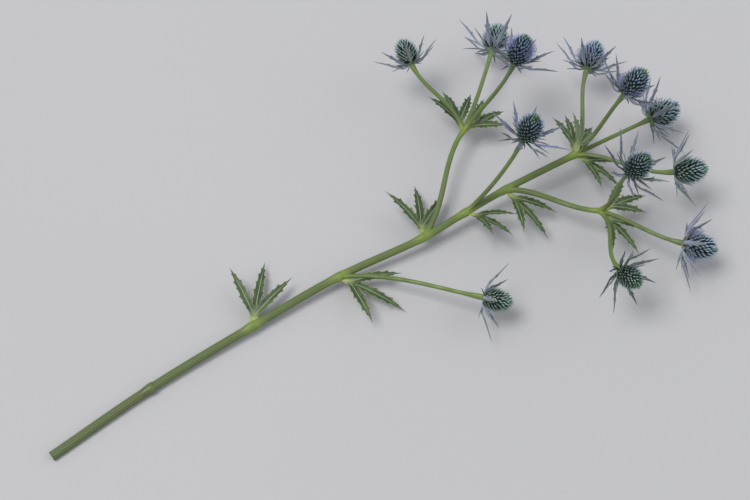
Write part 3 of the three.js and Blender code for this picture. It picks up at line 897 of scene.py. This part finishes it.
def spikes(shape, place, stands, blue):
    # Flat curved spikes. The section is an ellipse that shrinks to the tip, and the middle line
    # bends up by curl * share^2.
    roots, z, chance, way, _, over = stands
    share = np.array([[0], [0.3], [0.5], [0.74], [0.91], [1.0]])
    slim = np.array([[0.5], [0.9], [1.0], [0.8], [0.4], [0.05]])
    # tone 0 at the root gives the spike the painted shade of the gaps between spikes
    tone = np.array([[0], [0.3], [0.68], [0.95], [1.0], [1.0]])
    angle = circle(6)
    crown = smoothStep(z, *cone["crown"])[:, None, None]
    length = cone["spikeLength"] * blend(cone["lengthSpread"], chance)[:, None, None]
    ahead = length * (1 - cone["crownShortening"] * crown) * share * way[:, None]
    bend = (cone["spikeCurl"] * share**2 - cone["spikeDrop"]) * over[:, None]
    middle = (roots[:, None] + ahead + bend)[:, :, None]
    wide = cone["spikeHalfWidth"] * slim * np.cos(angle)
    deep = cone["spikeHalfThickness"] * slim * np.sin(angle)
    tone = (1 - cone["crownDulling"] * crown) * tone
    flowerTubes(shape, place, stands, middle, wide, deep, tone=tone, blue=blue[:, None, None], bloom=0)


def flowerCups(shape, place, stands, blue):
    # Cups above each spike's root. Their rings go up to the rim and in to the middle, and every
    # other point of the rim's ring stands out and up, for a petal.
    roots, _, _, way, _, over = stands
    angle = circle(2 * cone["petals"])
    petal = np.zeros((4, len(angle)))
    petal[2, 1::2] = 1
    radius = cone["cupRadius"] * np.array([[0.5], [1.0], [1.1], [0.3]]) + cone["petalSpread"] * petal
    height = cone["cupLength"] * np.array([[0], [0.5], [0.75], [0.7]]) + cone["petalHeight"] * petal
    # the cups stay low in tone, so they mostly carry the painted shade between the spikes
    tone = np.array([[0], [0.12], [0.3], [0.1]]) + cone["petalTone"] * petal
    middle = (roots + over * cone["cupLift"])[:, None, None] + height[..., None] * way[:, None, None]
    wide, deep = radius * np.cos(angle), radius * np.sin(angle)
    flowerTubes(shape, place, stands, middle, wide, deep, tone=tone, blue=blue[:, None, None], bloom=0)


def stamens(shape, place, stands, blue):
    # Threads from the flowers in the belt that is open. Each leaves its cup at its own angle and
    # bends outwards by share^2, with a bead at its end.
    belt = blend(cone["bloomHeights"], blue)
    isOpen = np.abs(stands[1] - belt) < cone["bloomReach"]
    stands = [value[isOpen] for value in stands]
    roots, _, chance, way, side, over = (value[:, None] for value in stands)
    share = np.array([[0.2], [0.5], [0.8], [0.92], [0.95], [1.0]])
    thick = np.array([[1.0], [1.0], [0.8], [0.8], [3.2], [0.6]]) * cone["stamenRadius"]
    bloom = np.array([[0.3], [0.5], [0.5], [0.6], [1.0], [1.0]])
    angle = circle(4)
    wide, deep = thick * np.cos(angle), thick * np.sin(angle)
    chance = chance[..., None]
    ahead = cone["stamenLength"] * blend(cone["stamenSpread"], chance) * share * way
    for turn in circle(cone["stamens"]):
        aside = np.cos(turn + 6 * chance) * side + np.sin(turn + 6 * chance) * over
        middle = (roots + ahead + blend(cone["stamenSpray"], share**2) * aside)[:, :, None]
        flowerTubes(shape, place, stands, middle, wide, deep, tone=0.8, blue=blue, bloom=bloom)


def floretPiece(number, head):
    # A core dark with painted shade, and on it a spike and a cup for each flower.
    shape = Shape()
    stand = headStand(head)

    def place(points):
        return placed(points, stand, head["size"])

    z = np.linspace(-cone["baseCut"], cone["coreTop"], cone["coreRings"])[:, None]
    angle, flat = circle(cone["coreSides"]), np.sqrt(1 - z**2)
    ball = np.stack((flat * np.cos(angle), flat * np.sin(angle), z + 0 * angle), -1)
    # tone 0: the whole core is painted shade
    shape.add(place(coreSpot(ball, cone["coreInset"])), tone=0, blue=0, bloom=0)
    stands = flowerStands(number, head)
    _, z, chance, *_ = stands
    ripe = blend((cone["footBlue"], 1), smoothStep(z, *cone["footHeights"]))
    ripe = ripe - cone["topGreen"] * smoothStep(z, *cone["topHeights"])
    blue = head["blue"] * ripe + cone["blueSpread"] * (chance - 0.5)
    spikes(shape, place, stands, blue)
    flowerCups(shape, place, stands, blue)
    if head["blue"] > cone["ripeness"]:
        stamens(shape, place, stands, head["blue"])
    return shape.make(f"florets_{number}", floretSkin, f"head_{number}", sharp=60)


def collar(shape, stand, size, blue):
    # A turned ring that the bracts grow from: its outline, times 1 + wave * cos(bracts * angle).
    reach, climb = np.array(whorl["collar"]).T[..., None]
    angle = circle(whorl["collarSides"])
    radius = whorl["collarRadius"] * reach * (1 + whorl["collarWave"] * np.cos(whorl["bracts"] * angle))
    height = plant["seat"] + whorl["collarHeight"] * climb + 0 * angle
    ring = np.stack((radius * np.cos(angle), radius * np.sin(angle), height), -1)
    looks = {"along": 0, "across": 0.4, "reach": 5, "under": 0, "spine": 0, "blue": blue, "dusk": 0}
    shape.add(placed(ring, stand, size), **looks)


def bractPiece(number, head):
    # The long bracts' rise, azimuth, length and teeth are drawn one by one. Two short ones stand in
    # each gap between them, at every height.
    shape = Shape()
    stand, size = headStand(head), head["size"]
    seed = number * 37 + np.arange(whorl["bracts"]) * 5
    rise = blend(whorl["rise"], draw(seed))[:, None]
    places = circle(whorl["bracts"]) + np.radians(head["turn"])
    paired = draw(seed + 3) > 0.4  # two great pairs of teeth, or one and a small one further out

    def bend(share):
        return rise * smoothStep(share, *whorl["unfold"]) * blend(whorl["easing"], share)

    def blueness(seed):
        return whorl["blueShare"] * head["blue"] + stray(whorl["blueSpread"], seed)

    long = {
        "azimuth": places + np.pi / whorl["bracts"] + stray(whorl["straying"], seed + 1),
        "length": whorl["length"] * blend(whorl["lengthSpread"], draw(seed + 2)),
        "rise": bend,
        "halfWidth": whorl["halfWidth"],
        "taper": lambda share: lanceTaper(share, **whorl["outline"]),
        "thickness": whorl["thickness"],
        "teeth": [
            (np.where(paired, 0.44, 0.55), np.where(paired, 1.0, 1.15)),
            (np.where(paired, 0.66, 0.74), np.where(paired, 0.85, 0.5)),
            (0.3, 0.35),
        ],
        "toothLean": 1.8,
        "fold": 0.5,
        "wave": 0.15,
        "waveCount": 2.5,
        "start": whorl["collarRadius"] - whorl["sunk"],
        "shift": 0,
        "height": plant["seat"] + whorl["bractHeight"],
        "edge": 1,
        "rings": 76,
        "sides": 12,
    }
    dusk = whorl["dusk"] * draw(seed + 4.5) ** 2
    blades(shape, long, stand, size, blue=blueness(seed + 4), dusk=dusk)
    seed = number * 91 + np.arange(2 * whorl["bracts"]) * 4
    shortRise = blend(whorl["shortRise"], draw(seed))[:, None]
    pairs = (places[:, None] + whorl["shortSpread"] * np.array([-0.5, 0.5])).ravel()
    short = dict(
        long,
        azimuth=pairs + stray(whorl["straying"], seed + 1),
        length=blend(whorl["shortLength"], draw(seed + 2) ** 1.3),  # more short ones than long
        rise=lambda share: shortRise * smoothStep(share, -0.2, 0.4),
        halfWidth=whorl["shortHalfWidth"],
        thickness=0.6,
        teeth=[(0.4, 0.9)],
        toothLean=0.8,
        start=whorl["collarRadius"] - whorl["shortSunk"],
        rings=24,
        sides=8,
    )
    dusk = blend(whorl["shortDusk"], draw(seed + 3.5))
    blades(shape, short, stand, size, blue=blueness(seed + 3), dusk=dusk)
    collar(shape, stand, size, head["blue"])
    return shape.make(f"bractWhorl_{number}", bractSkin, f"bracts_{number}")


for number, head in enumerate(heads, 1):
    floretPiece(number, head)
    bractPiece(number, head)
print("flower heads made")

leafForm = {
    "halfWidth": 3.2,
    "thickness": 0.75,
    "lobeAngle": 36,
    "angleSpread": 8,
    "lengthSpread": (0.95, 1.05),
    # shares of a lobe's length at which its pairs of teeth stand, and their height
    "teeth": [(0.16, 0.2), (0.27, 0.42), (0.4, 0.74), (0.54, 0.42), (0.68, 0.66), (0.81, 0.32)],
    "toothStraying": 0.03,
    "toothSpread": (0.8, 1.2),
    "footLength": 11,  # from the stem's middle to where the lobes part
    "sideShortening": 0.14,
    "rise": 10,  # degrees above the leaf's plane at the foot, then how much more on the outer lobes
    "sideRise": 12,
    "droop": 34,  # degrees lost on the way to the tip
    "webLength": 16.5,  # of the foot that carries the lobes
    "webRise": 3.5,  # degrees at its end, so that it stays under the lobes
    "lobe": {
        "widestAt": 0.4,  # share of a lobe's length
        "widest": 1.2,
        "footLoss": 0.5,
        "tipLoss": 0.95,
        "tipPower": 1.3,
        "closing": 0.34,
        "closingPower": 0.85,
        "rounding": 0.07,
    },
    "web": {"foot": 0.72, "widest": 1.22, "widening": (0.15, 0.6), "closing": 0.35, "power": 0.5},
}


def lobeTaper(share, widestAt, widest, footLoss, tipLoss, tipPower, closing, closingPower, rounding):
    # With a and b the shares of the way from the widest place to the foot and to the tip, it is
    # widest - footLoss * a^2 - tipLoss * b^tipPower. The last stretch, of length closing, is times a
    # power of what is left, and the first, of length rounding, times the root of the way along it,
    # though 0.2 at least.
    a = np.maximum(0, 1 - share / widestAt)
    b = np.maximum(0, (share - widestAt) / (1 - widestAt))
    point = np.clip((1 - share) / closing, 0, 1) ** closingPower
    foot = np.sqrt(np.clip(share / rounding, 0.04, 1))
    return (widest - footLoss * a**2 - tipLoss * b**tipPower) * point * foot


def leafPiece(number, leaf):
    # Three long lobes and a web that joins their feet to the stem.
    place, _, _ = forkAt(leaf["start"])
    stand = standing(place, leaf["face"], leaf["out"])
    lobe = np.array([-1.0, 0.0, 1.0])
    outer = np.abs(lobe)
    seed = number * 53 + lobe * 7
    angle = leafForm["lobeAngle"] * lobe + stray(leafForm["angleSpread"], seed)
    length = (leaf["length"] - leafForm["footLength"]) * blend(leafForm["lengthSpread"], draw(seed + 1))
    foot = (leafForm["rise"] + leafForm["sideRise"] * outer)[:, None]
    teeth = []
    for step, (at, spread) in enumerate(leafForm["teeth"]):
        at = at + stray(leafForm["toothStraying"], seed + step + 2)
        teeth.append((at, spread * blend(leafForm["toothSpread"], draw(seed + step + 9))))
    lobes = {
        "azimuth": np.radians(angle),
        "length": length * (1 - leafForm["sideShortening"] * outer),
        "rise": lambda share: foot - leafForm["droop"] * share,
        "halfWidth": leafForm["halfWidth"],
        "taper": lambda share: lobeTaper(share, **leafForm["lobe"]),
        "thickness": leafForm["thickness"],
        "teeth": teeth,
        "toothLean": 2.0,
        "fold": 0.24,
        "wave": 0.4,
        "waveCount": 3,
        "start": -1,
        "shift": leafForm["footLength"],
        "height": 0,
        "edge": 1,
        "rings": 96,
        "sides": 16,
    }
    web = dict(
        lobes,
        azimuth=np.zeros(1),
        length=np.array([leafForm["webLength"]]),
        rise=lambda share: leafForm["webRise"] * share,
        taper=lambda share: lanceTaper(share, **leafForm["web"]),
        teeth=[],
        wave=0,
        start=0,
        shift=0,
        thickness=0.9,
        height=-0.15,
        edge=0.8,  # so that no margin is drawn across the leaf
        rings=40,
    )
    shape = Shape()
    blades(shape, lobes, stand)
    blades(shape, web, stand)
    return shape.make(f"cutLeaf_{number}", leafSkin, f"leaf_{number}")


for number, leaf in enumerate(leaves, 1):
    leafPiece(number, leaf)
print("leaves made")

studio = {
    "floorSize": 14.0,  # metres, as the stage's other lengths
    "azimuth": -30,  # of the camera, in degrees: 0 looks along +Y
    "elevation": 62,
    "lens": 80,
    "aim": (0.006, 0.004, 0.03),
    "distance": 1.54,
    "lamps": {  # above, on the camera's left and its right, far off so that the floor is even
        "key": {"place": (-2.6, 1.0, 7.4), "power": 390, "size": 3.4, "tint": (1, 0.98, 0.95)},
        "fill": {"place": (5.6, -2.4, 5.2), "power": 140, "size": 6.4, "tint": (0.94, 0.97, 1)},
    },
    "skyTint": (0.93, 0.95, 1, 1),
    "skyStrength": 0.5,
}


def floorMaterial():
    # an even pale grey with the faintest cloudiness and grain
    material, tree, shader = surface("paleFloor")
    speck = groupIn(tree, mottle, Blotches=1.5, Fineness=220)
    colour = mixed(tree, speck["Blotch"], paint("floor"), paint("floorCloud"))
    finishWith(tree, shader, colour, (speck["Grain"], 0.8, 0.9), speck["Grain"], 0.05, 0.0002)
    return material


def floorPiece():
    half = studio["floorSize"] / 2
    mesh = bpy.data.meshes.new("paleFloor")
    corners = [(-half, -half, 0), (half, -half, 0), (half, half, 0), (-half, half, 0)]
    mesh.from_pydata(corners, [], [(0, 1, 2, 3)])
    mesh.materials.append(floorMaterial())
    floor = bpy.data.objects.new("paleFloor", mesh)
    bpy.context.collection.objects.link(floor)


def softLight(name, place, power, size, tint):
    light = bpy.data.lights.new(name, "AREA")
    light.energy, light.size, light.color = power, size, tint
    lamp = bpy.data.objects.new(f"{name}Light", light)
    lamp.location = place
    lamp.rotation_euler = (Vector(studio["aim"]) - Vector(place)).to_track_quat("-Z", "Y").to_euler()
    bpy.context.collection.objects.link(lamp)


def paleSky():
    sky = bpy.data.worlds.new("paleRoom")
    sky.use_nodes = True
    background = sky.node_tree.nodes["Background"]
    background.inputs["Color"].default_value = studio["skyTint"]
    background.inputs["Strength"].default_value = studio["skyStrength"]
    bpy.context.scene.world = sky


def lookingDown():
    lens = bpy.data.cameras.new("lookingDown")
    lens.lens = studio["lens"]
    eye = bpy.data.objects.new("lookingDown", lens)
    turn, tilt = np.radians(studio["azimuth"]), np.radians(studio["elevation"])
    back = Vector((np.sin(turn) * np.cos(tilt), -np.cos(turn) * np.cos(tilt), np.sin(tilt)))
    eye.location = Vector(studio["aim"]) + back * studio["distance"]
    eye.rotation_euler = (-back).to_track_quat("-Z", "Y").to_euler()
    bpy.context.collection.objects.link(eye)
    bpy.context.scene.camera = eye


floorPiece()
for name, lamp in studio["lamps"].items():
    softLight(name, **lamp)
lookingDown()
paleSky()
bpy.context.scene.view_settings.view_transform = "Standard"
print("stage set")
